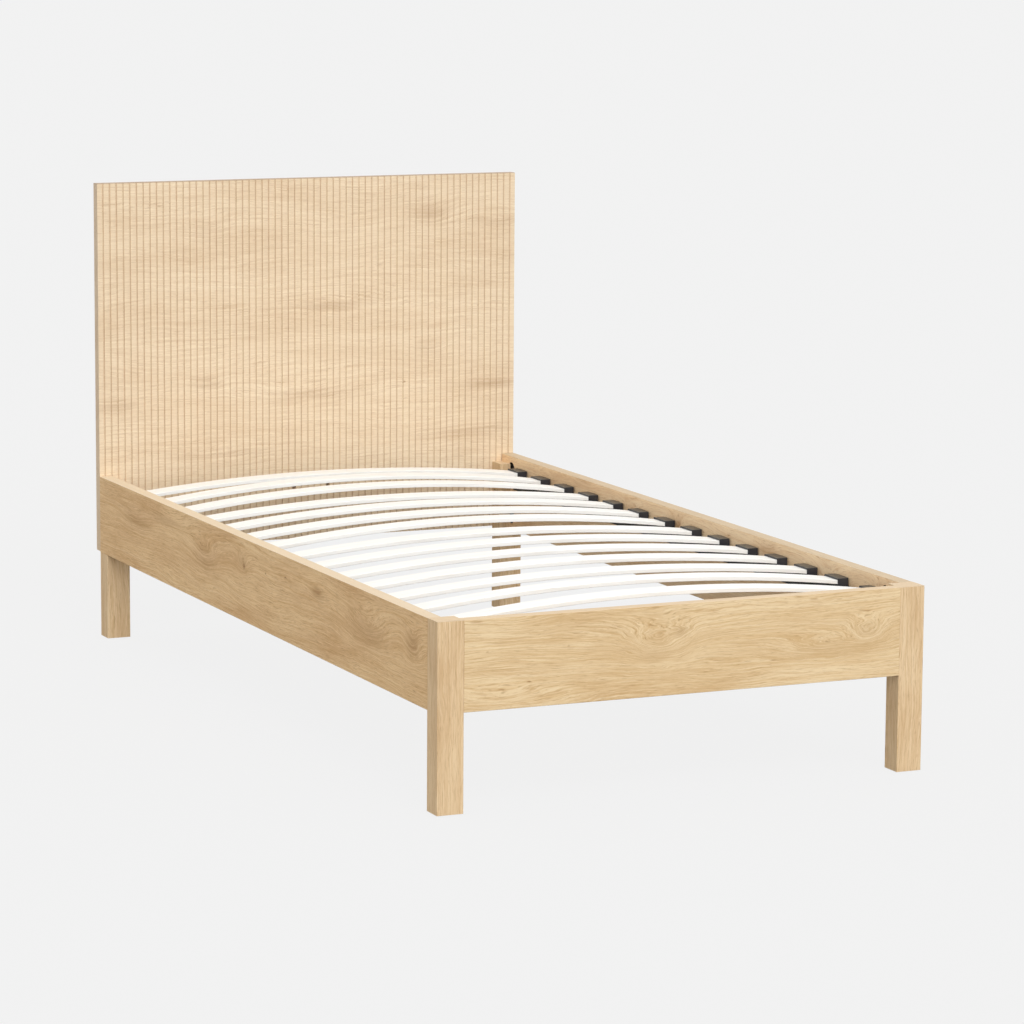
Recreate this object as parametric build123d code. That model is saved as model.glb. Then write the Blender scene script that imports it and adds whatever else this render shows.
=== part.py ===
from build123d import *

import os
from math import asin, degrees, sqrt

# Single bed frame with a grooved headboard and a bed of sprung slats.
# Millimetres. X runs across the bed, Y from the foot end to the head end, Z up from the floor.
# Left is -X and right is +X, seen from the foot end.

# Overall size
WIDTH = 1015
LENGTH = 1950
HEIGHT = 1018
FOOT_Y = -LENGTH / 2
HEAD_Y = LENGTH / 2
OUTER_X = WIDTH / 2

# Headboard
HEADBOARD_THICK = 25
HEADBOARD_BOTTOM = 193
HEADBOARD_FRONT = HEAD_Y - HEADBOARD_THICK
GROOVE_COUNT = 64
GROOVE_PITCH = 15.7
GROOVE_WIDTH = 4
GROOVE_FLOOR = 1.6
GROOVE_DEPTH = 2.5
BRACKET_HOLE_RADIUS = 5
BRACKET_HOLE_DEPTH = 14
BRACKET_HOLE_X = 41.5
BRACKET_HOLE_Z = 312

# Side rails and footboard
RAIL_TOP = 363
RAIL_BOTTOM = 191
RAIL_MIDDLE = (RAIL_TOP + RAIL_BOTTOM) / 2
RAIL_THICK = 28
FOOTBOARD_THICK = 25
BOARD_ROUND = 1
INNER_X = OUTER_X - RAIL_THICK

# Legs
LEG_WIDTH = 53
LEG_DEPTH = 48
LEG_ROUND = 1.5
HEAD_LEG_TOP = 345
LEG_INNER_X = OUTER_X - LEG_WIDTH
FOOT_LEG_BACK = FOOT_Y + LEG_DEPTH
HEAD_LEG_FRONT = HEADBOARD_FRONT - LEG_DEPTH
GLIDE_LIFT = 2
GLIDE_RADIUS = 15
GLIDE_STEM_RADIUS = 4
GLIDE_STEM_LENGTH = 14

# Bed bolts: a bolt or stud runs along the middle of each rail end into a round pocket
POCKET_RADIUS = 17.75
POCKET_DEPTH = 22
POCKET_SETBACK = 54
POCKET_RISE = 54
BOLT_X = OUTER_X - RAIL_THICK / 2
BOLT_RADIUS = 4
BOLT_BORE_RADIUS = 4.5
BOLT_HEAD_RADIUS = 8
BOLT_HEAD_SEAT = 5
BOLT_HEAD_THICK = 4.5
BOLT_KEY = 5
BOLT_KEY_DEPTH = 3
BOLT_PAST_POCKET = 8
STUD_IN_LEG = 30
HALF_MOON_SETBACK = 2
HALF_MOON_THICK = 15
NUT_ACROSS_FLATS = 13
NUT_THICK = 6.5

# Slats: springy strips bowed upwards, each one to its own height
SLAT_WIDTH = 53
SLAT_THICK = 8
SLAT_PITCH = 127.7
SLAT_ROW_MIDDLE = 2
LAST_SLAT_SHIFT = -14
SLAT_HALF_SPAN = 454
SLAT_HALF_LENGTH = 471
SLAT_END_TOP = 336.7
SLAT_ROUND = 1
SLAT_RISES = (25.5, 33, 33, 25.5, 29.5, 30, 32, 26, 27, 27, 27, 26, 29.5, 31)

# Slat caps: plastic sleeves over the slat ends
CAP_OUTER_X = 477
CAP_LENGTH = CAP_OUTER_X - SLAT_HALF_SPAN
CAP_WIDTH = 56
CAP_BOTTOM = 324
CAP_EDGE_TOP = 340.2
CAP_CROWN = 341
CAP_CORNER = 1.2
SLEEVE_SIDE_GAP = 0.4
SLEEVE_TOP_GAP = 0.4
SLEEVE_END_GAP = 1
PEG_RADIUS = 3
PEG_LENGTH = 6
PEG_SPACING = 26

# Slat ledges: steel angles along the rails
LEDGE_THICK = 2
LEDGE_BOTTOM = 287
LEDGE_FOOT_END = -872
LEDGE_HEAD_END = 881
LEDGE_BEND = 2.5
LEDGE_SCREW_Z = 302
LEDGE_SCREW_BORE_RADIUS = 2.25
SCREW_RADIUS = 2
SCREW_LENGTH = 16
SCREW_HEAD_RADIUS = 4
SCREW_HEAD_THICK = 2.4

# Screws that hold the head legs to the rails
LEG_SCREW_HEIGHTS = (255, 279)
LEG_SCREW_SPACING = 18
LEG_SCREW_SEAT = 8
LEG_SCREW_SEAT_RADIUS = 5
LEG_SCREW_HEAD_RADIUS = 4.8
LEG_SCREW_HEAD_THICK = 3
LEG_SCREW_RADIUS = 2.5
LEG_SCREW_LENGTH = 33

# Cam joints and dowels between the footboard and the foot legs
FOOTBOARD_MIDDLE = FOOT_Y + FOOTBOARD_THICK / 2
CAM_HEIGHTS = (225, 329)
CAM_SETBACK = 34
CAM_RADIUS = 7.5
CAM_DEPTH = 17
CAM_SLOT = 1.2
CAM_SLOT_DEPTH = 2
CAM_BORE_RADIUS = 3.6
CAM_BOLT_RADIUS = 3
CAM_BOLT_HEAD_RADIUS = 3.5
CAM_BOLT_HEAD_LENGTH = 4
CAM_BOLT_IN_LEG = 11
DOWEL_HEIGHTS = (259, 295)
DOWEL_RADIUS = 4
DOWEL_LENGTH = 30

SIDES = (-1, 1)


def block(x_low, x_high, y_low, y_high, z_low, z_high):
    """A box given by its six faces."""
    size = Box(x_high - x_low, y_high - y_low, z_high - z_low)
    return Pos((x_low + x_high) / 2, (y_low + y_high) / 2, (z_low + z_high) / 2) * size


def side_block(side, x_near, x_far, y_low, y_high, z_low, z_high):
    """A box on one side of the bed, given by its distances from the centre line."""
    ends = sorted((side * x_near, side * x_far))
    return block(ends[0], ends[1], y_low, y_high, z_low, z_high)


def rod_x(radius, x_start, x_end, y, z):
    """A round bar along X."""
    length = abs(x_end - x_start)
    return Pos((x_start + x_end) / 2, y, z) * Rot(0, 90, 0) * Cylinder(radius, length)


def rod_y(radius, y_start, y_end, x, z):
    """A round bar along Y."""
    length = abs(y_end - y_start)
    return Pos(x, (y_start + y_end) / 2, z) * Rot(90, 0, 0) * Cylinder(radius, length)


def rod_z(radius, z_start, z_end, x, y):
    """A round bar along Z."""
    length = abs(z_end - z_start)
    return Pos(x, y, (z_start + z_end) / 2) * Cylinder(radius, length)


def bolt_heights():
    """Heights of the two bolts in each rail end."""
    return (RAIL_MIDDLE - POCKET_RISE, RAIL_MIDDLE + POCKET_RISE)


def slat_middle(number):
    """Y of the middle of a slat, counted from the head end; the last one lies nearer the footboard."""
    last_number = len(SLAT_RISES) - 1
    shift = LAST_SLAT_SHIFT if number == last_number else 0
    return SLAT_ROW_MIDDLE + (last_number / 2 - number) * SLAT_PITCH + shift


def save(name, shape):
    """Write one node of the assembly."""
    export_step(shape, f"parts/{name}.step")


# Boards


def headboard_outline():
    """Plan of the headboard, with the row of grooves along its front face."""
    first = -(GROOVE_COUNT - 1) / 2 * GROOVE_PITCH
    points = [(-OUTER_X, HEAD_Y), (-OUTER_X, HEADBOARD_FRONT)]
    for groove in range(GROOVE_COUNT):
        x = first + groove * GROOVE_PITCH
        floor_y = HEADBOARD_FRONT + GROOVE_DEPTH
        points.append((x - GROOVE_WIDTH / 2, HEADBOARD_FRONT))
        points.append((x - GROOVE_FLOOR / 2, floor_y))
        points.append((x + GROOVE_FLOOR / 2, floor_y))
        points.append((x + GROOVE_WIDTH / 2, HEADBOARD_FRONT))
    points.append((OUTER_X, HEADBOARD_FRONT))
    points.append((OUTER_X, HEAD_Y))
    return make_face(Polyline(*points, close=True))


def headboard_panel():
    height = HEIGHT - HEADBOARD_BOTTOM
    panel = Pos(0, 0, HEADBOARD_BOTTOM) * extrude(headboard_outline(), amount=height)
    for side in SIDES:
        hole_end = HEADBOARD_FRONT + BRACKET_HOLE_DEPTH
        x = side * BRACKET_HOLE_X
        panel -= rod_y(BRACKET_HOLE_RADIUS, HEADBOARD_FRONT, hole_end, x, BRACKET_HOLE_Z)
        for z in bolt_heights():
            x = side * BOLT_X
            panel -= rod_y(BOLT_BORE_RADIUS, HEADBOARD_FRONT, HEAD_Y, x, z)
            panel -= rod_y(BOLT_HEAD_RADIUS + 1, HEAD_Y - BOLT_HEAD_SEAT, HEAD_Y, x, z)
    return panel


def pocket_cut(side, y_pocket, z):
    """The blind round pocket in the inner face of a rail."""
    return rod_x(POCKET_RADIUS, side * INNER_X, side * (INNER_X + POCKET_DEPTH), y_pocket, z)


def head_leg_screw_places():
    """Y and Z of the screws in each head leg."""
    middle = HEAD_LEG_FRONT + LEG_DEPTH / 2
    offset = LEG_SCREW_SPACING / 2
    return [(middle + way * offset, z) for z in LEG_SCREW_HEIGHTS for way in SIDES]


def ledge_screw_places():
    """Y of the screws in each slat ledge, one in every other gap between the slats."""
    gaps = range(0, len(SLAT_RISES) - 1, 2)
    return [slat_middle(gap + 0.5) for gap in gaps]


def side_rail(side):
    rail = side_block(side, INNER_X, OUTER_X, FOOT_LEG_BACK, HEADBOARD_FRONT, RAIL_BOTTOM, RAIL_TOP)
    rail = fillet(rail.edges().filter_by(Axis.Y), BOARD_ROUND)
    head_pocket = HEADBOARD_FRONT - POCKET_SETBACK
    foot_pocket = FOOT_LEG_BACK + POCKET_SETBACK
    for z in bolt_heights():
        rail -= pocket_cut(side, head_pocket, z)
        rail -= pocket_cut(side, foot_pocket, z)
        rail -= rod_y(BOLT_BORE_RADIUS, head_pocket, HEADBOARD_FRONT, side * BOLT_X, z)
        rail -= rod_y(BOLT_BORE_RADIUS, FOOT_LEG_BACK, foot_pocket, side * BOLT_X, z)
    for y in ledge_screw_places():
        tip = INNER_X - LEDGE_THICK + SCREW_LENGTH
        rail -= rod_x(SCREW_RADIUS, side * INNER_X, side * tip, y, LEDGE_SCREW_Z)
    for y, z in head_leg_screw_places():
        tip = LEG_INNER_X + LEG_SCREW_SEAT + LEG_SCREW_LENGTH
        rail -= rod_x(LEG_SCREW_RADIUS, side * INNER_X, side * tip, y, z)
    return rail


def footboard_panel():
    back = FOOT_Y + FOOTBOARD_THICK
    board = block(-LEG_INNER_X, LEG_INNER_X, FOOT_Y, back, RAIL_BOTTOM, RAIL_TOP)
    board = fillet(board.edges().filter_by(Axis.X), BOARD_ROUND)
    for side in SIDES:
        cam_x = LEG_INNER_X - CAM_SETBACK
        for z in CAM_HEIGHTS:
            board -= rod_y(CAM_RADIUS, back - CAM_DEPTH, back, side * cam_x, z)
            end = side * LEG_INNER_X
            board -= rod_x(CAM_BORE_RADIUS, side * cam_x, end, FOOTBOARD_MIDDLE, z)
        for z in DOWEL_HEIGHTS:
            dowel_start = side * (LEG_INNER_X - DOWEL_LENGTH / 2)
            board -= rod_x(DOWEL_RADIUS, dowel_start, side * LEG_INNER_X, FOOTBOARD_MIDDLE, z)
    return board


# Legs


def leg_stock(side, y_low, y_high, top):
    """A square leg with eased upright edges and the hole for its glide."""
    leg = side_block(side, LEG_INNER_X, OUTER_X, y_low, y_high, GLIDE_LIFT, top)
    leg = fillet(leg.edges().filter_by(Axis.Z), LEG_ROUND)
    x, y = side * (LEG_INNER_X + LEG_WIDTH / 2), (y_low + y_high) / 2
    return leg - rod_z(GLIDE_STEM_RADIUS, GLIDE_LIFT, GLIDE_LIFT + GLIDE_STEM_LENGTH, x, y)


def foot_leg(side):
    leg = leg_stock(side, FOOT_Y, FOOT_LEG_BACK, RAIL_TOP)
    for z in bolt_heights():
        leg -= rod_y(BOLT_RADIUS, FOOT_LEG_BACK - STUD_IN_LEG, FOOT_LEG_BACK, side * BOLT_X, z)
    inner = side * LEG_INNER_X
    for z in CAM_HEIGHTS:
        thread_end = side * (LEG_INNER_X + CAM_BOLT_IN_LEG)
        leg -= rod_x(CAM_BOLT_RADIUS, inner, thread_end, FOOTBOARD_MIDDLE, z)
    for z in DOWEL_HEIGHTS:
        dowel_end = side * (LEG_INNER_X + DOWEL_LENGTH / 2)
        leg -= rod_x(DOWEL_RADIUS, inner, dowel_end, FOOTBOARD_MIDDLE, z)
    return leg


def head_leg(side):
    leg = leg_stock(side, HEAD_LEG_FRONT, HEADBOARD_FRONT, HEAD_LEG_TOP)
    margin = 10
    leg -= side_block(
        side,
        INNER_X,
        OUTER_X + margin,
        HEAD_LEG_FRONT - margin,
        HEADBOARD_FRONT + margin,
        RAIL_BOTTOM,
        HEAD_LEG_TOP + margin,
    )
    seat_x = LEG_INNER_X + LEG_SCREW_SEAT
    for y, z in head_leg_screw_places():
        leg -= rod_x(LEG_SCREW_SEAT_RADIUS, side * LEG_INNER_X, side * seat_x, y, z)
        leg -= rod_x(LEG_SCREW_RADIUS, side * seat_x, side * INNER_X, y, z)
    return leg


def leg_glides():
    glides = []
    foot_y = FOOT_Y + LEG_DEPTH / 2
    head_y = HEAD_LEG_FRONT + LEG_DEPTH / 2
    for side in SIDES:
        x = side * (LEG_INNER_X + LEG_WIDTH / 2)
        for y in (foot_y, head_y):
            glide = rod_z(GLIDE_RADIUS, 0, GLIDE_LIFT, x, y)
            glide += rod_z(GLIDE_STEM_RADIUS, GLIDE_LIFT, GLIDE_LIFT + GLIDE_STEM_LENGTH, x, y)
            glides.append(glide)
    return glides


# Slats, caps and ledges


def slat_radius(rise):
    """Radius of the top face of a slat that rises this far above its ends."""
    return (SLAT_HALF_SPAN**2 + rise**2) / (2 * rise)


def sleeve_space(rise, half_length, width, extra_top):
    """The bowed space that a slat takes up about Y=0, with some room above it."""
    top_radius = slat_radius(rise) + extra_top
    bottom_radius = slat_radius(rise) - SLAT_THICK
    centre_z = SLAT_END_TOP + rise - slat_radius(rise)
    end_top = centre_z + sqrt(top_radius**2 - half_length**2)
    end_bottom = centre_z + sqrt(bottom_radius**2 - half_length**2)
    upper = ThreePointArc(
        (-half_length, end_top), (0, centre_z + top_radius), (half_length, end_top)
    )
    lower = ThreePointArc(
        (half_length, end_bottom), (0, centre_z + bottom_radius), (-half_length, end_bottom)
    )
    right_end = Line((half_length, end_top), (half_length, end_bottom))
    left_end = Line((-half_length, end_bottom), (-half_length, end_top))
    profile = make_face([upper, right_end, lower, left_end])
    return extrude(Plane.XZ * profile, amount=width / 2, both=True)


def slat(number):
    """A rounded strip turned about the centre of its own bow."""
    rise = SLAT_RISES[number]
    centre_z = SLAT_END_TOP + rise - slat_radius(rise)
    middle_z = SLAT_END_TOP + rise - SLAT_THICK / 2
    section = Plane((0, 0, middle_z), x_dir=(0, 1, 0), z_dir=(1, 0, 0)) * RectangleRounded(
        SLAT_WIDTH, SLAT_THICK, SLAT_ROUND
    )
    bow_axis = Axis((0, 0, centre_z), (0, 1, 0))
    half_angle = degrees(asin(SLAT_HALF_LENGTH / slat_radius(rise)))
    strip = revolve(section, axis=bow_axis, revolution_arc=2 * half_angle)
    strip = strip.rotate(bow_axis, -half_angle)
    return Pos(0, slat_middle(number), 0) * strip


def cap_shell():
    """A cap before its sleeve is cut, from X=0 to X=CAP_LENGTH about Y=0."""
    half = CAP_WIDTH / 2
    crown = ThreePointArc((-half, CAP_EDGE_TOP), (0, CAP_CROWN), (half, CAP_EDGE_TOP))
    walls = Polyline(
        (half, CAP_EDGE_TOP), (half, CAP_BOTTOM), (-half, CAP_BOTTOM), (-half, CAP_EDGE_TOP)
    )
    shell = extrude(Plane.YZ * make_face([crown, walls]), amount=CAP_LENGTH)
    corners = shell.edges().filter_by(Axis.X).group_by(Axis.Z)[-1]
    return fillet(corners, CAP_CORNER)


def slat_cap(side, number):
    y = slat_middle(number)
    x = SLAT_HALF_SPAN if side > 0 else -CAP_OUTER_X
    sleeve_width = SLAT_WIDTH + 2 * SLEEVE_SIDE_GAP
    sleeve_reach = SLAT_HALF_LENGTH + SLEEVE_END_GAP
    sleeve = sleeve_space(SLAT_RISES[number], sleeve_reach, sleeve_width, SLEEVE_TOP_GAP)
    cap = Pos(x, y, 0) * cap_shell() - Pos(0, y, 0) * sleeve
    for way in SIDES:
        peg_x, peg_y = peg_place(side, number, way)
        cap += rod_z(PEG_RADIUS, CAP_BOTTOM - PEG_LENGTH, CAP_BOTTOM, peg_x, peg_y)
    return cap


def peg_place(side, number, way):
    """X and Y of one of the two pegs under a cap."""
    flange_middle = (SLAT_HALF_SPAN + INNER_X - LEDGE_THICK) / 2
    return side * flange_middle, slat_middle(number) + way * PEG_SPACING / 2


def slat_ledge(side):
    """A steel angle: an upright leg on the rail and a flange under the caps."""
    flange_edge = SLAT_HALF_SPAN
    inner_face = INNER_X - LEDGE_THICK
    flange_bottom = CAP_BOTTOM - LEDGE_THICK
    points = [
        (side * INNER_X, LEDGE_BOTTOM),
        (side * INNER_X, CAP_BOTTOM),
        (side * flange_edge, CAP_BOTTOM),
        (side * flange_edge, flange_bottom),
        (side * inner_face, flange_bottom),
        (side * inner_face, LEDGE_BOTTOM),
    ]
    profile = Plane.XZ * make_face(Polyline(*points, close=True))
    angle = extrude(profile, amount=-(LEDGE_HEAD_END - LEDGE_FOOT_END))
    angle = Pos(0, LEDGE_FOOT_END, 0) * angle
    outer_corner = angle.edges().filter_by(Axis.Y).sort_by_distance(
        (side * INNER_X, LEDGE_FOOT_END, CAP_BOTTOM)
    )[0]
    angle = fillet(outer_corner, LEDGE_BEND)
    for number in range(len(SLAT_RISES)):
        for way in SIDES:
            peg_x, peg_y = peg_place(side, number, way)
            angle -= rod_z(PEG_RADIUS, flange_bottom, CAP_BOTTOM, peg_x, peg_y)
    for y in ledge_screw_places():
        faces = (side * inner_face, side * INNER_X)
        angle -= rod_x(LEDGE_SCREW_BORE_RADIUS, faces[0], faces[1], y, LEDGE_SCREW_Z)
    return angle


# Fasteners


def screw(side, x_seat, y, z, radius, length, head_radius, head_thick):
    """A round-headed screw that points outwards, its head just inside x_seat."""
    head = rod_x(head_radius, side * (x_seat - head_thick), side * x_seat, y, z)
    slot_depth = head_thick / 2
    cross = CAM_SLOT / 2
    for half_y, half_z in ((head_radius * 0.6, cross), (cross, head_radius * 0.6)):
        head -= side_block(
            side,
            x_seat - head_thick,
            x_seat - head_thick + slot_depth,
            y - half_y,
            y + half_y,
            z - half_z,
            z + half_z,
        )
    return head + rod_x(radius, side * x_seat, side * (x_seat + length), y, z)


def ledge_screws():
    seat = INNER_X - LEDGE_THICK
    sizes = (SCREW_RADIUS, SCREW_LENGTH, SCREW_HEAD_RADIUS, SCREW_HEAD_THICK)
    places = [(side, y) for side in SIDES for y in ledge_screw_places()]
    return [screw(side, seat, y, LEDGE_SCREW_Z, *sizes) for side, y in places]


def head_leg_screws():
    seat = LEG_INNER_X + LEG_SCREW_SEAT
    sizes = (LEG_SCREW_RADIUS, LEG_SCREW_LENGTH, LEG_SCREW_HEAD_RADIUS, LEG_SCREW_HEAD_THICK)
    places = [(side, y, z) for side in SIDES for y, z in head_leg_screw_places()]
    return [screw(side, seat, y, z, *sizes) for side, y, z in places]


def headboard_bolts():
    bolts = []
    seat = HEAD_Y - BOLT_HEAD_SEAT
    tip = HEADBOARD_FRONT - POCKET_SETBACK - BOLT_PAST_POCKET
    head_end = seat + BOLT_HEAD_THICK
    for side in SIDES:
        for z in bolt_heights():
            bolt = rod_y(BOLT_HEAD_RADIUS, seat, head_end, side * BOLT_X, z)
            bolt += rod_y(BOLT_RADIUS, tip, seat, side * BOLT_X, z)
            key = extrude(RegularPolygon(BOLT_KEY / 2, 6, major_radius=False), BOLT_KEY_DEPTH)
            bolt -= Pos(side * BOLT_X, head_end, z) * Rot(90, 0, 0) * key
            bolts.append(bolt)
    return bolts


def foot_studs():
    tip = FOOT_LEG_BACK + POCKET_SETBACK + BOLT_PAST_POCKET
    start = FOOT_LEG_BACK - STUD_IN_LEG
    places = [(side * BOLT_X, z) for side in SIDES for z in bolt_heights()]
    return [rod_y(BOLT_RADIUS, start, tip, x, z) for x, z in places]


def half_moon(side, y_pocket, z, toward):
    """A half-round washer on the joint side of a pocket; toward is the Y direction of the joint."""
    half = HALF_MOON_THICK / 2
    disc = rod_x(POCKET_RADIUS, side * (BOLT_X - half), side * (BOLT_X + half), y_pocket, z)
    flat_y = y_pocket + toward * HALF_MOON_SETBACK
    far_y = y_pocket - toward * 2 * POCKET_RADIUS
    reach = 2 * POCKET_RADIUS
    y_low, y_high = sorted((flat_y, far_y))
    disc -= side_block(side, BOLT_X - reach, BOLT_X + reach, y_low, y_high, z - reach, z + reach)
    joint_y = y_pocket + toward * POCKET_RADIUS
    return disc - rod_y(BOLT_BORE_RADIUS, flat_y, joint_y, side * BOLT_X, z)


def nut(side, y_pocket, z, toward):
    """A hexagon nut against the flat of a half-round washer."""
    hexagon = RegularPolygon(NUT_ACROSS_FLATS / 2, 6, major_radius=False)
    flat_y = y_pocket + toward * HALF_MOON_SETBACK
    middle_y = flat_y - toward * NUT_THICK / 2
    body = extrude(hexagon, amount=NUT_THICK / 2, both=True) - Cylinder(BOLT_RADIUS, NUT_THICK)
    return Pos(side * BOLT_X, middle_y, z) * Rot(90, 0, 0) * body


def in_each_pocket(make, y_pocket, toward):
    """One fastener in each of the four pockets at one end of the bed."""
    places = [(side, z) for side in SIDES for z in bolt_heights()]
    return [make(side, y_pocket, z, toward) for side, z in places]


def footboard_cams():
    cams = []
    back = FOOT_Y + FOOTBOARD_THICK
    cam_x = LEG_INNER_X - CAM_SETBACK
    for side in SIDES:
        for z in CAM_HEIGHTS:
            x = side * cam_x
            cam = rod_y(CAM_RADIUS, back - CAM_DEPTH, back, x, z)
            mouth = side * (cam_x + CAM_RADIUS)
            cam -= rod_x(CAM_BORE_RADIUS, side * (cam_x - 1), mouth, FOOTBOARD_MIDDLE, z)
            reach = CAM_RADIUS * 0.6
            for half_x, half_z in ((reach, CAM_SLOT), (CAM_SLOT, reach)):
                cam -= block(
                    x - half_x, x + half_x, back - CAM_SLOT_DEPTH, back, z - half_z, z + half_z
                )
            cams.append(cam)
    return cams


def footboard_cam_bolts():
    bolts = []
    head_start = LEG_INNER_X - CAM_SETBACK + 1
    head_end = head_start + CAM_BOLT_HEAD_LENGTH
    thread_end = LEG_INNER_X + CAM_BOLT_IN_LEG
    for side in SIDES:
        for z in CAM_HEIGHTS:
            head = rod_x(
                CAM_BOLT_HEAD_RADIUS, side * head_start, side * head_end, FOOTBOARD_MIDDLE, z
            )
            shank = rod_x(
                CAM_BOLT_RADIUS, side * head_end, side * thread_end, FOOTBOARD_MIDDLE, z
            )
            bolts.append(head + shank)
    return bolts


def footboard_dowels():
    half = DOWEL_LENGTH / 2
    dowels = []
    for side in SIDES:
        for z in DOWEL_HEIGHTS:
            ends = (side * (LEG_INNER_X - half), side * (LEG_INNER_X + half))
            dowels.append(rod_x(DOWEL_RADIUS, ends[0], ends[1], FOOTBOARD_MIDDLE, z))
    return dowels


def main():
    os.makedirs("parts", exist_ok=True)
    head_pocket = HEADBOARD_FRONT - POCKET_SETBACK
    foot_pocket = FOOT_LEG_BACK + POCKET_SETBACK
    save("headboard_panel", headboard_panel())
    save("footboard_panel", footboard_panel())
    for side, name in ((-1, "left"), (1, "right")):
        save(f"side_rail_{name}", side_rail(side))
        save(f"foot_leg_{name}", foot_leg(side))
        save(f"head_leg_{name}", head_leg(side))
        save(f"slat_ledge_{name}", slat_ledge(side))
        caps = [slat_cap(side, number) for number in range(len(SLAT_RISES))]
        save(f"slat_caps_{name}", Compound(children=caps))
    for number in range(len(SLAT_RISES)):
        save(f"slat_{number + 1:02d}", slat(number))
    groups = {
        "leg_glides": leg_glides(),
        "headboard_bolts": headboard_bolts(),
        "headboard_half_moons": in_each_pocket(half_moon, head_pocket, 1),
        "headboard_nuts": in_each_pocket(nut, head_pocket, 1),
        "foot_studs": foot_studs(),
        "foot_half_moons": in_each_pocket(half_moon, foot_pocket, -1),
        "foot_nuts": in_each_pocket(nut, foot_pocket, -1),
        "footboard_cams": footboard_cams(),
        "footboard_cam_bolts": footboard_cam_bolts(),
        "footboard_dowels": footboard_dowels(),
        "ledge_screws": ledge_screws(),
        "head_leg_screws": head_leg_screws(),
    }
    for name, pieces in groups.items():
        save(name, Compound(children=pieces))


main()
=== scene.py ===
"""Looks for the single bed frame: procedural oak, white slats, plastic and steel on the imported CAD.

Every CAD node keeps its own mesh and gets a node-based material.
The stage is a plain pale floor under soft light.
All lengths are in metres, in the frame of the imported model: X right, Y from foot to head, Z up.
"""

import math

import bpy
from mathutils import Matrix, Vector


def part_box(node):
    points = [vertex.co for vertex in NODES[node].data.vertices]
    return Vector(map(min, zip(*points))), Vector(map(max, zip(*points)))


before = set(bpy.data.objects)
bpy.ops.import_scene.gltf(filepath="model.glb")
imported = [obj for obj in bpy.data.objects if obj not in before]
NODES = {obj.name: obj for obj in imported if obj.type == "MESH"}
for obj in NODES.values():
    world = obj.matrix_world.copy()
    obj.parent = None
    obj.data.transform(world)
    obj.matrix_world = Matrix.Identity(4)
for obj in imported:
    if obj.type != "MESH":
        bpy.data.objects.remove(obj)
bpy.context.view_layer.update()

# Axes
X, Y, Z = 0, 1, 2

# Colour sockets of the Mix node
MIX_FIRST, MIX_SECOND, MIX_RESULT = 6, 7, 2

# Camera: a long lens, standing to the left of the foot end and looking slightly down
CAMERA_PLACE = Vector((-3.3751, -7.6698, 1.7211))
CAMERA_YAW = math.radians(24.2389)
CAMERA_PITCH = math.radians(9.0094)
CAMERA_ROLL = math.radians(0.3818)
CAMERA_LENS = 143.416
SENSOR_WIDTH = 36.0
CLIP_NEAR, CLIP_FAR = 0.1, 400.0

# Stage
FLOOR_HALF = 150.0
FLOOR_GLOW = 0.838
FLOOR_SHADOW = 0.04
FLOOR_BOUNCE = 0.26
HORIZON_LIGHT = 1.06
CEILING_LIGHT = 0.88
HORIZON_BAND = (0.02, 0.20)
KEY_FROM = Vector((-0.12, -0.78, 0.60))
KEY_STRENGTH = 1.40
KEY_SPREAD = math.radians(50)
FILL_FROM = Vector((-0.45, -0.85, 0.12))
FILL_STRENGTH = 0.40
FILL_SPREAD = math.radians(70)

# Wood finish
OAK_SHEEN = 0.25
OAK_GLOSS = (0.50, 0.60)
# Painted shade in the headboard's grooves: its share at full depth, then the depths behind the front face
# where it starts and where it is full
GROOVE_SHADE = 0.20
GROOVE_EDGE = 0.0002
GROOVE_DARK = 0.0010
LIPPING_EDGE = 0.0010
POCKET_REACH = 0.0182
POCKET_SETBACK = 0.054
POCKET_RISE = 0.054
CORE_SKIN = 0.0005
HEAD_FIGURE = 0.50
HEAD_CONTRAST = 0.72
SLAT_SHEEN = 0.35
SLAT_GRAIN_WAVES = (7.0, 300.0, 90.0)
SLAT_CLOUD_WAVES = (1.6, 45.0)
CAP_EDGE = 0.0014
DOWEL_WAVES = (60.0, 900.0)

# Oak figure: waves per metre along the grain, across it and through it
WANDER_WAVES = (1.7, 7.0)
RIPPLE_WAVES = (18.0, 60.0)
JITTER_WAVES = (30.0, 42.0)
STREAK_WAVES = (12.0, 620.0, 60.0)
FLECK_WAVES = (36.0, 980.0, 160.0)
PORE_WAVES = (70.0, 1300.0, 300.0)
CLOUD_WAVES = (3.0, 14.0)
RING_WAVES = (2.0, 190.0)

# Oak figure: how far the rings wander, and how far a knot's outline strays along and across
WANDER_REACH = 0.085
RIPPLE_REACH = 0.006
KNOT_STRAY = (0.030, 0.020)
STAIN_FALL = 1.6

# Oak figure: noise at which each layer starts and ends, then its share of the next colour at both
RING_BAND = (0.32, 0.68)
CLOUD_BAND = (0.42, 0.70)
CLOUD_SHARE = 0.75
DARK_STREAK = (0.50, 0.72, 0.0, 0.85)
LIGHT_STREAK = (0.46, 0.26, 0.0, 0.80)
DARK_FLECK = (0.60, 0.74, 0.0, 0.50)
LIGHT_FLECK = (0.38, 0.26, 0.0, 0.70)
PORE_SPECK = (0.62, 0.76, 0.0, 0.45)
STAIN_RINGS = (0.30, 0.62, 0.35, 1.45)
STAIN_BAND = (0.03, 1.0)

# Oak relief: depth in metres, then strength
PORE_BUMP = (0.00015, 0.35)
STREAK_BUMP = (0.0002, 0.25)


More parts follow.
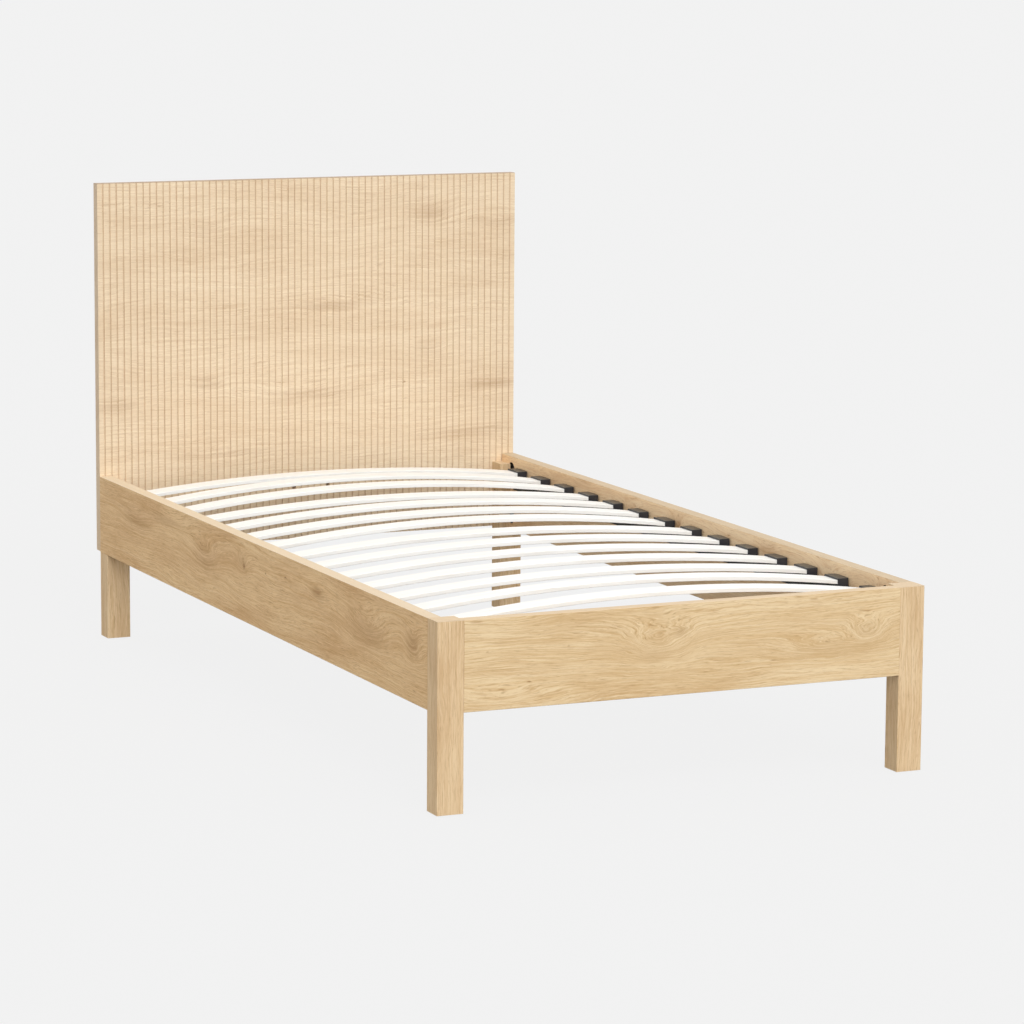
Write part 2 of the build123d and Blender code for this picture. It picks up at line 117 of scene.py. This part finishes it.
class Graph:
    """A material's node tree, with short calls for the nodes that the finishes below use."""

    def __init__(self, name):
        self.material = bpy.data.materials.new(name)
        self.material.use_nodes = True
        self.nodes = self.material.node_tree.nodes
        self.links = self.material.node_tree.links
        self.shader = self.nodes["Principled BSDF"]

    def put(self, socket, value):
        """Links a socket or sets a plain value."""
        if isinstance(value, bpy.types.NodeSocket):
            self.links.new(value, socket)
        elif value is not None:
            socket.default_value = value

    def math(self, operation, first, second=None, third=None):
        node = self.nodes.new("ShaderNodeMath")
        node.operation = operation
        for socket, value in zip(node.inputs, (first, second, third)):
            self.put(socket, value)
        return node.outputs[0]

    def place(self):
        """The point's X, Y and Z in metres."""
        coordinates = self.nodes.new("ShaderNodeTexCoord")
        split = self.nodes.new("ShaderNodeSeparateXYZ")
        self.links.new(coordinates.outputs["Object"], split.inputs[0])
        return list(split.outputs)

    def vector(self, x, y, z):
        node = self.nodes.new("ShaderNodeCombineXYZ")
        for socket, value in zip(node.inputs, (x, y, z)):
            self.put(socket, value)
        return node.outputs[0]

    def stretched(self, first, second, waves, third):
        """Texture coordinates with their own waves per metre along the first two directions."""
        first = self.math("MULTIPLY", first, waves[0])
        second = self.math("MULTIPLY", second, waves[1])
        return self.vector(first, second, third)

    def noise(self, vector, detail=2.0, roughness=0.5, scale=1.0):
        node = self.nodes.new("ShaderNodeTexNoise")
        self.put(node.inputs["Vector"], vector)
        self.put(node.inputs["Scale"], scale)
        self.put(node.inputs["Detail"], detail)
        self.put(node.inputs["Roughness"], roughness)
        return node.outputs["Fac"]

    def stretch(self, value, low, high, to_low=0.0, to_high=1.0):
        """Maps low..high to to_low..to_high, held at the ends."""
        node = self.nodes.new("ShaderNodeMapRange")
        for socket, number in zip(node.inputs, (value, low, high, to_low, to_high)):
            self.put(socket, number)
        return node.outputs[0]

    def mix(self, share, first, second, blend="MIX"):
        node = self.nodes.new("ShaderNodeMix")
        node.data_type = "RGBA"
        node.blend_type = blend
        self.put(node.inputs["Factor"], share)
        self.put(node.inputs[MIX_FIRST], first)
        self.put(node.inputs[MIX_SECOND], second)
        return node.outputs[MIX_RESULT]

    def bump(self, height, distance, strength=1.0, under=None):
        node = self.nodes.new("ShaderNodeBump")
        self.put(node.inputs["Strength"], strength)
        self.put(node.inputs["Distance"], distance)
        self.put(node.inputs["Height"], height)
        self.put(node.inputs["Normal"], under)
        return node.outputs[0]

    def finish(self, colour, roughness, normal=None, **plain):
        """Connects the shader and sets its plain values on its own sockets."""
        self.put(self.shader.inputs["Base Color"], colour)
        self.put(self.shader.inputs["Roughness"], roughness)
        self.put(self.shader.inputs["Normal"], normal)
        for name, value in plain.items():
            self.shader.inputs[name.replace("_", " ")].default_value = value
        return self.material


def tone(red, green, blue):
    """A linear colour from its display values, 0 to 255."""
    channels = []
    for value in (red, green, blue):
        share = value / 255
        channels.append(share / 12.92 if share <= 0.04045 else ((share + 0.055) / 1.055) ** 2.4)
    return (*channels, 1.0)


def knot(g, along, across, spot):
    """How near a point is to a knot: 1 at its centre, fading to 0 over its length and height."""
    middle_along, middle_across, half_length, half_height = spot[:4]
    near = g.math("DIVIDE", g.math("SUBTRACT", along, middle_along), half_length)
    high = g.math("DIVIDE", g.math("SUBTRACT", across, middle_across), half_height)
    distance = g.math("ADD", g.math("MULTIPLY", near, near), g.math("MULTIPLY", high, high))
    return g.math("EXPONENT", g.math("MULTIPLY", distance, -1.0))


def scaled(band, share):
    """A band of noise whose far end is weakened to a share of itself."""
    return (*band[:3], band[3] * share)


def drilled(g, place, low, high, pockets):
    """1 inside the drilled pockets, between two places across the board, and 0 elsewhere."""
    cut = None
    for y, z in pockets:
        reach = g.math("POWER", g.math("SUBTRACT", place[Y], y), 2.0)
        reach = g.math("ADD", reach, g.math("POWER", g.math("SUBTRACT", place[Z], z), 2.0))
        inside = g.math("LESS_THAN", reach, POCKET_REACH ** 2)
        cut = inside if cut is None else g.math("MAXIMUM", cut, inside)
    cut = g.math("MULTIPLY", cut, g.math("GREATER_THAN", place[X], low))
    return g.math("MULTIPLY", cut, g.math("LESS_THAN", place[X], high))


def oak(name, grain, shades, knots=(), shift=0.0, face=0.0, figure=1.0, contrast=1.0, **features):
    """Oak-patterned foil on a board whose grain runs along one axis.

    The growth rings are the contours of a smooth height over the face, which bulges round each knot.
    shades are the light, middle, dark and pore colours. A knot is its place along and across the
    grain, its half length and half height, how strongly the rings swirl round it and how dark it is.
    face is added to the place across, so that a board's own distance from the middle doesn't move
    its knots. figure is how strong the rings and clouds are, contrast how strong the fine streaks.
    The other features are groove_front, the front face of the grooved board; lipping, the colour and height
    of a top edge strip; and core, the colour of the drilled pockets' cut core with painted shade, their X
    range and their centres.
    """
    groove_front, lipping, core = (features.get(key) for key in ("groove_front", "lipping", "core"))
    g = Graph(name)
    place = g.place()
    side, other = [place[axis] for axis in (X, Y, Z) if axis != grain]
    along = place[grain]
    across = g.math("ADD", g.math("ADD", side, other), face)
    depth = g.math("SUBTRACT", side, other)
    light, middle, dark, pore = shades

    def through(waves):
        return g.math("MULTIPLY", depth, waves[2])

    wander = g.noise(g.stretched(along, across, WANDER_WAVES, shift))
    ripple = g.noise(g.stretched(along, across, RIPPLE_WAVES, shift))
    jitter = g.noise(g.stretched(along, across, JITTER_WAVES, shift + 2.0))
    height = g.math("MULTIPLY_ADD", wander, WANDER_REACH, across)
    height = g.math("MULTIPLY_ADD", ripple, RIPPLE_REACH, height)
    stray_along, stray_across = KNOT_STRAY
    warped_along = g.math("MULTIPLY_ADD", jitter, stray_along, g.math("SUBTRACT", along, stray_along / 2))
    warped_across = g.math("MULTIPLY_ADD", ripple, stray_across, g.math("SUBTRACT", across, stray_across / 2))
    stain = None
    for spot in knots:
        near = knot(g, warped_along, warped_across, spot)
        height = g.math("MULTIPLY_ADD", near, spot[3] * spot[4], height)
        shade = g.math("MULTIPLY", g.math("POWER", near, STAIN_FALL), spot[5])
        stain = shade if stain is None else g.math("ADD", stain, shade)

    along_rings, across_rings = RING_WAVES
    rings = g.noise(g.stretched(height, along, (across_rings, along_rings), shift), 2.0, 0.55)
    streaks = g.noise(g.stretched(along, height, STREAK_WAVES, through(STREAK_WAVES)), 2.0, 0.6)
    flecks = g.noise(g.stretched(along, height, FLECK_WAVES, through(FLECK_WAVES)), 1.0)
    pores = g.noise(g.stretched(along, height, PORE_WAVES, through(PORE_WAVES)), 1.0)
    cloud = g.noise(g.stretched(along, height, CLOUD_WAVES, shift + 4.0), 3.0, 0.55)

    colour = g.mix(g.stretch(rings, *RING_BAND, 0.5 - 0.5 * figure, 0.5 + 0.5 * figure), light, middle)
    colour = g.mix(g.stretch(cloud, *CLOUD_BAND, 0.0, CLOUD_SHARE * figure), colour, dark)
    colour = g.mix(g.stretch(streaks, *scaled(DARK_STREAK, contrast)), colour, dark)
    colour = g.mix(g.stretch(streaks, *scaled(LIGHT_STREAK, contrast)), colour, light)
    colour = g.mix(g.stretch(flecks, *scaled(DARK_FLECK, contrast)), colour, pore)
    colour = g.mix(g.stretch(flecks, *LIGHT_FLECK), colour, light)
    colour = g.mix(g.stretch(pores, *PORE_SPECK), colour, pore)
    if stain is not None:
        mottle = g.math("MULTIPLY", stain, g.stretch(rings, *STAIN_RINGS))
        colour = g.mix(g.stretch(mottle, *STAIN_BAND), colour, pore)
    # Painted shade: the walls and floors of the headboard's grooves are darkened towards a brown-grey.
    if groove_front is not None:
        into = g.stretch(place[Y], groove_front + GROOVE_EDGE, groove_front + GROOVE_DARK, 0.0, GROOVE_SHADE)
        colour = g.mix(into, colour, GROOVE_PAINTED_SHADE_COLOUR)
    if lipping is not None:
        strip, top = lipping
        fine = g.stretch(streaks, 0.35, 0.65, 0.70, 1.0)
        on_top = g.stretch(place[Z], top - LIPPING_EDGE, top - LIPPING_EDGE / 2)
        colour = g.mix(g.math("MULTIPLY", on_top, fine), colour, strip)
    # Painted shade: inside the bolt pockets the wood takes the near-black brown of a shaded cut core.
    if core is not None:
        core_and_shade_colour, low, high, pockets = core
        colour = g.mix(drilled(g, place, low, high, pockets), colour, core_and_shade_colour)

    relief = g.bump(g.math("MULTIPLY", pores, -1.0), *PORE_BUMP)
    relief = g.bump(streaks, *STREAK_BUMP, under=relief)
    gloss = g.stretch(rings, 0.3, 0.7, *OAK_GLOSS)
    return g.finish(colour, gloss, relief, Specular_IOR_Level=OAK_SHEEN)


def pocket_places(rail):
    """Y and Z of the four bolt pockets in a rail, from its box."""
    middle = (rail[0].z + rail[1].z) / 2
    ends = (rail[0].y + POCKET_SETBACK, rail[1].y - POCKET_SETBACK)
    return [(y, middle + way * POCKET_RISE) for y in ends for way in (-1, 1)]


def painted_slat(name):
    """Satin white foil on bent laminated wood: faint grain along the slat."""
    g = Graph(name)
    x, y, z = g.place()
    grain = g.noise(g.stretched(x, y, SLAT_GRAIN_WAVES, g.math("MULTIPLY", z, SLAT_GRAIN_WAVES[2])), 2.0, 0.6)
    wave = g.noise(g.stretched(x, y, SLAT_CLOUD_WAVES, 0.0))
    colour = g.mix(g.stretch(grain, 0.52, 0.80), SLAT_WHITE, SLAT_GRAIN)
    colour = g.mix(g.stretch(wave, 0.50, 0.80, 0.0, 0.5), colour, SLAT_WARM)
    relief = g.bump(grain, 0.00008, 0.3)
    return g.finish(colour, g.stretch(grain, 0.3, 0.7, 0.38, 0.50), relief, Specular_IOR_Level=SLAT_SHEEN)


def moulded(name, base, worn, rough, grain_size, relief, top=None):
    """Moulded plastic or powder coat: a fine even pebble with slight cloudiness.

    top is the colour and height of a band along the top, which it colours a lighter, warmer grey.
    """
    g = Graph(name)
    coordinates = g.nodes.new("ShaderNodeTexCoord").outputs["Object"]
    pebble = g.noise(coordinates, 2.0, 0.5, grain_size)
    cloud = g.noise(coordinates, 3.0, 0.6, 24.0)
    colour = g.mix(g.stretch(cloud, 0.35, 0.75), base, worn)
    if top is not None:
        top_tone, height = top
        colour = g.mix(g.stretch(g.place()[Z], height - CAP_EDGE, height - CAP_EDGE / 2), colour, top_tone)
    uneven = g.stretch(cloud, 0.3, 0.7, rough - 0.06, rough + 0.06)
    return g.finish(colour, uneven, g.bump(pebble, relief, 0.5), IOR=1.5)


def plated(name, base, dull, rough):
    """Zinc plating: metal with a faint spangle and brushed roughness."""
    g = Graph(name)
    coordinates = g.nodes.new("ShaderNodeTexCoord").outputs["Object"]
    spangle = g.noise(coordinates, 3.0, 0.6, 260.0)
    colour = g.mix(g.stretch(spangle, 0.35, 0.7), base, dull)
    uneven = g.stretch(spangle, 0.3, 0.7, rough, rough + 0.14)
    return g.finish(colour, uneven, g.bump(spangle, 0.00005, 0.4), Metallic=1.0)


def dowel_beech(name):
    """Beech dowel with fine flecks."""
    g = Graph(name)
    x, y, z = g.place()
    fleck = g.noise(g.stretched(x, y, DOWEL_WAVES, g.math("MULTIPLY", z, DOWEL_WAVES[1])), 2.0, 0.6)
    colour = g.mix(g.stretch(fleck, 0.4, 0.7), tone(222, 190, 150), tone(190, 150, 108))
    return g.finish(colour, 0.6, g.bump(fleck, 0.0001, 0.4))


def paint(material, *names):
    """Gives the named CAD nodes one material in every slot."""
    for name in names:
        mesh = NODES[name].data
        if not mesh.materials:
            mesh.materials.append(material)
        for index in range(len(mesh.materials)):
            mesh.materials[index] = material


FOOT_SHADES = (tone(236, 212, 172), tone(224, 194, 148), tone(204, 168, 119), tone(165, 124, 78))
# Painted light: the two rails are one oak in two copies, each toned for its light. The left copy is warmer,
# for the warm light on its outer face; the right copy is paler and brighter, for the light the white slats
# throw onto its inner face.
LEFT_RAIL_PAINTED_WARM_LIGHT_SHADES = (tone(240, 208, 160), tone(227, 190, 139), tone(202, 158, 107), tone(156, 108, 62))
RIGHT_RAIL_PAINTED_LIGHT_SHADES = (tone(247, 221, 183), tone(239, 208, 167), tone(224, 186, 142), tone(183, 139, 97))
LEG_SHADES = (tone(234, 208, 170), tone(222, 191, 148), tone(200, 164, 120), tone(162, 124, 82))
HEAD_SHADES = (tone(241, 223, 194), tone(228, 203, 170), tone(210, 180, 144), tone(182, 146, 110))
# Painted shade for the groove walls and floors
GROOVE_PAINTED_SHADE_COLOUR = tone(158, 124, 104)
# Painted light and shade: one edge band on both rail tops, painted lighter on the left rail and darker on the
# right.
LEFT_LIPPING_PAINTED_LIGHT, RIGHT_LIPPING_PAINTED_SHADE = tone(224, 206, 179), tone(199, 178, 147)
LEG_LIPPING = tone(218, 194, 161)
HEAD_LIPPING = tone(176, 150, 126)
# Lighter, warmer grey for the band along the caps' tops
CAP_TOP_TONE = tone(66, 63, 58)
# Painted shade: the pockets' cut core is coloured far darker than chipboard, so that it stands for the shadow
# inside the pockets as well as the raw core
POCKET_CORE_AND_SHADE = tone(58, 42, 30)
SLAT_WHITE, SLAT_GRAIN, SLAT_WARM = tone(249, 248, 244), tone(235, 231, 224), tone(246, 241, 235)

head_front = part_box("headboard_panel")[0].y
foot_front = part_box("footboard_panel")[0].y
head_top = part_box("headboard_panel")[1].z
board_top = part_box("side_rail_left")[1].z

# Knots: place along, place across, half length, half height, swirl, darkness
HEAD_KNOTS = (
    (0.30, 0.930, 0.060, 0.030, 0.5, 0.30), (-0.25, 0.900, 0.060, 0.030, 0.4, 0.12),
    (0.05, 0.727, 0.110, 0.014, 0.3, 0.35), (0.45, 0.907, 0.080, 0.014, 0.3, 0.22),
    (-0.25, 0.560, 0.040, 0.020, 0.7, 0.32), (0.29, 0.620, 0.050, 0.022, 0.6, 0.22),
    (0.00, 0.525, 0.130, 0.018, 0.3, 0.30), (0.45, 0.530, 0.080, 0.014, 0.3, 0.42),
    (-0.21, 0.400, 0.140, 0.014, 0.3, 0.26), (-0.47, 0.520, 0.060, 0.018, 0.4, 0.28),
    (0.40, 0.420, 0.160, 0.020, 0.3, 0.28), (0.17, 0.816, 0.012, 0.008, 0.8, 0.25),
    (0.23, 0.545, 0.004, 0.003, 0.5, 0.80), (0.42, 0.716, 0.004, 0.003, 0.5, 0.70),
)
FOOT_KNOTS = (
    (-0.060, 0.290, 0.060, 0.036, 1.5, 0.10), (-0.012, 0.312, 0.020, 0.013, 1.0, 0.30),
    (-0.068, 0.268, 0.036, 0.016, -0.9, 0.12),
    (0.300, 0.258, 0.110, 0.020, 1.3, 0.10), (0.385, 0.285, 0.034, 0.024, 1.4, 0.24),
    (-0.249, 0.298, 0.004, 0.002, 0.6, 0.90), (-0.324, 0.237, 0.005, 0.002, 0.6, 0.90),
    (-0.408, 0.302, 0.003, 0.002, 0.6, 0.70), (-0.430, 0.355, 0.016, 0.005, 0.5, 0.45),
    (0.270, 0.352, 0.012, 0.004, 0.5, 0.45),
)
RAIL_KNOTS = (
    (0.265, 0.287, 0.080, 0.034, 0.9, 0.34), (0.035, 0.312, 0.034, 0.020, 1.1, 0.32),
    (0.028, 0.304, 0.010, 0.008, 0.8, 0.65), (0.700, 0.300, 0.110, 0.030, 0.5, 0.30),
    (-0.640, 0.285, 0.110, 0.036, 0.9, 0.30), (-0.860, 0.300, 0.040, 0.030, 0.9, 0.42),
    (-0.092, 0.311, 0.005, 0.002, 0.6, 0.90), (-0.210, 0.318, 0.006, 0.002, 0.6, 0.85),
    (-0.380, 0.316, 0.050, 0.016, 0.5, 0.42), (0.520, 0.330, 0.120, 0.016, 0.4, 0.26),
)

paint(
    oak(
        "Headboard oak", X, HEAD_SHADES, HEAD_KNOTS, 1.0, -head_front, HEAD_FIGURE, HEAD_CONTRAST,
        groove_front=head_front, lipping=(HEAD_LIPPING, head_top),
    ),
    "headboard_panel",
)
paint(
    oak("Footboard oak", X, FOOT_SHADES, FOOT_KNOTS, 2.0, -foot_front, lipping=(LEG_LIPPING, board_top)),
    "footboard_panel",
)
# Painted light: each rail takes its own light-toned copy of the oak and of the top strip.
for side, outer, shades, strip, shift in (
    ("left", 0, LEFT_RAIL_PAINTED_WARM_LIGHT_SHADES, LEFT_LIPPING_PAINTED_LIGHT, 3.0), ("right", 1, RIGHT_RAIL_PAINTED_LIGHT_SHADES, RIGHT_LIPPING_PAINTED_SHADE, 5.0),
):
    node = f"side_rail_{side}"
    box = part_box(node)
    core = (POCKET_CORE_AND_SHADE, box[0].x + CORE_SKIN, box[1].x - CORE_SKIN, pocket_places(box))
    title = f"{side.capitalize()} rail oak"
    rail = oak(title, Y, shades, RAIL_KNOTS, shift, -box[outer].x, lipping=(strip, board_top), core=core)
    paint(rail, node)
for number, leg in enumerate(("foot_leg_left", "foot_leg_right", "head_leg_left", "head_leg_right")):
    title = f"{leg.replace('_', ' ').capitalize()} oak"
    paint(oak(title, Z, LEG_SHADES, (), 7.0 + number, lipping=(LEG_LIPPING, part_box(leg)[1].z)), leg)
slats = [name for name in NODES if name.startswith("slat_") and name[5:].isdigit()]
paint(painted_slat("Slat white"), *slats)
cap_top = (CAP_TOP_TONE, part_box("slat_caps_left")[1].z)
paint(
    moulded("Cap plastic", tone(40, 42, 48), tone(54, 54, 58), 0.36, 900.0, 0.0002, cap_top),
    "slat_caps_left", "slat_caps_right",
)
paint(
    moulded("Ledge powder coat", tone(38, 38, 40), tone(50, 50, 52), 0.50, 700.0, 0.0002),
    "slat_ledge_left", "slat_ledge_right",
)
paint(moulded("Glide plastic", tone(44, 44, 46), tone(58, 56, 56), 0.55, 900.0, 0.0002), "leg_glides")
paint(
    plated("Zinc plating", tone(196, 198, 202), tone(160, 163, 168), 0.28),
    "headboard_bolts", "headboard_half_moons", "headboard_nuts", "foot_studs", "foot_half_moons", "foot_nuts",
    "footboard_cams", "footboard_cam_bolts",
)
paint(
    plated("Black screw plating", tone(52, 52, 56), tone(34, 34, 38), 0.35),
    "ledge_screws", "head_leg_screws",
)
paint(dowel_beech("Dowel beech"), "footboard_dowels")


def floor_finish():
    """Pale and even where it is looked at, with a faint shadow; to the object it is a mid grey bounce."""
    g = Graph("Pale floor")
    g.nodes.remove(g.shader)
    looked_at = g.nodes.new("ShaderNodeLightPath").outputs["Is Camera Ray"]
    soft = g.nodes.new("ShaderNodeBsdfDiffuse")
    soft.inputs["Color"].default_value = (FLOOR_SHADOW, FLOOR_SHADOW, FLOOR_SHADOW, 1.0)
    glow = g.nodes.new("ShaderNodeEmission")
    glow.inputs["Strength"].default_value = FLOOR_GLOW
    pale = g.nodes.new("ShaderNodeAddShader")
    bounce = g.nodes.new("ShaderNodeBsdfDiffuse")
    bounce.inputs["Color"].default_value = (FLOOR_BOUNCE, FLOOR_BOUNCE, FLOOR_BOUNCE, 1.0)
    both = g.nodes.new("ShaderNodeMixShader")
    g.put(pale.inputs[0], soft.outputs[0])
    g.put(pale.inputs[1], glow.outputs[0])
    g.put(both.inputs[0], looked_at)
    g.put(both.inputs[1], bounce.outputs[0])
    g.put(both.inputs[2], pale.outputs[0])
    g.put(g.nodes["Material Output"].inputs["Surface"], both.outputs[0])
    return g.material


def make_floor():
    """A large pale floor that glows a little, so that it stays even out to the horizon."""
    mesh = bpy.data.meshes.new("floor")
    corners = [(sx * FLOOR_HALF, sy * FLOOR_HALF, 0.0) for sx, sy in ((-1, -1), (1, -1), (1, 1), (-1, 1))]
    mesh.from_pydata(corners, [], [(0, 1, 2, 3)])
    floor = bpy.data.objects.new("floor", mesh)
    bpy.context.scene.collection.objects.link(floor)
    mesh.materials.append(floor_finish())


def make_sky():
    """Studio surroundings: bright at the horizon like the floor, dimmer overhead."""
    world = bpy.data.worlds.new("Studio")
    world.use_nodes = True
    bpy.context.scene.world = world
    nodes, links = world.node_tree.nodes, world.node_tree.links
    coordinates = nodes.new("ShaderNodeTexCoord")
    split = nodes.new("ShaderNodeSeparateXYZ")
    band = nodes.new("ShaderNodeMapRange")
    links.new(coordinates.outputs["Generated"], split.inputs[0])
    links.new(split.outputs[2], band.inputs[0])
    values = (*HORIZON_BAND, HORIZON_LIGHT, CEILING_LIGHT)
    for socket, value in zip(list(band.inputs)[1:], values):
        socket.default_value = value
    background = nodes["Background"]
    background.inputs["Color"].default_value = (1.0, 1.0, 1.0, 1.0)
    links.new(band.outputs[0], background.inputs["Strength"])


def make_sun(name, towards, strength, spread):
    """A wide soft lamp, far away, shining from the given direction."""
    lamp = bpy.data.lights.new(name, "SUN")
    lamp.energy = strength
    lamp.angle = spread
    holder = bpy.data.objects.new(name, lamp)
    holder.rotation_mode = "QUATERNION"
    holder.rotation_quaternion = towards.to_track_quat("Z", "Y")
    bpy.context.scene.collection.objects.link(holder)


def make_camera():
    """The camera, turned by yaw and pitch, then rolled about its own line of sight."""
    ahead = Vector((
        math.sin(CAMERA_YAW) * math.cos(CAMERA_PITCH),
        math.cos(CAMERA_YAW) * math.cos(CAMERA_PITCH),
        -math.sin(CAMERA_PITCH),
    ))
    level = Vector((math.cos(CAMERA_YAW), -math.sin(CAMERA_YAW), 0.0))
    upright = level.cross(ahead)
    right = level * math.cos(CAMERA_ROLL) + upright * math.sin(CAMERA_ROLL)
    up = upright * math.cos(CAMERA_ROLL) - level * math.sin(CAMERA_ROLL)
    lens = bpy.data.cameras.new("camera")
    lens.lens = CAMERA_LENS
    lens.sensor_width = SENSOR_WIDTH
    lens.clip_start, lens.clip_end = CLIP_NEAR, CLIP_FAR
    camera = bpy.data.objects.new("camera", lens)
    bpy.context.scene.collection.objects.link(camera)
    camera.matrix_world = Matrix.Translation(CAMERA_PLACE) @ Matrix((right, up, -ahead)).transposed().to_4x4()
    bpy.context.scene.camera = camera


make_floor()
make_sky()
make_sun("key", KEY_FROM, KEY_STRENGTH, KEY_SPREAD)
make_sun("fill", FILL_FROM, FILL_STRENGTH, FILL_SPREAD)
make_camera()
bpy.context.scene.view_settings.view_transform = "Standard"
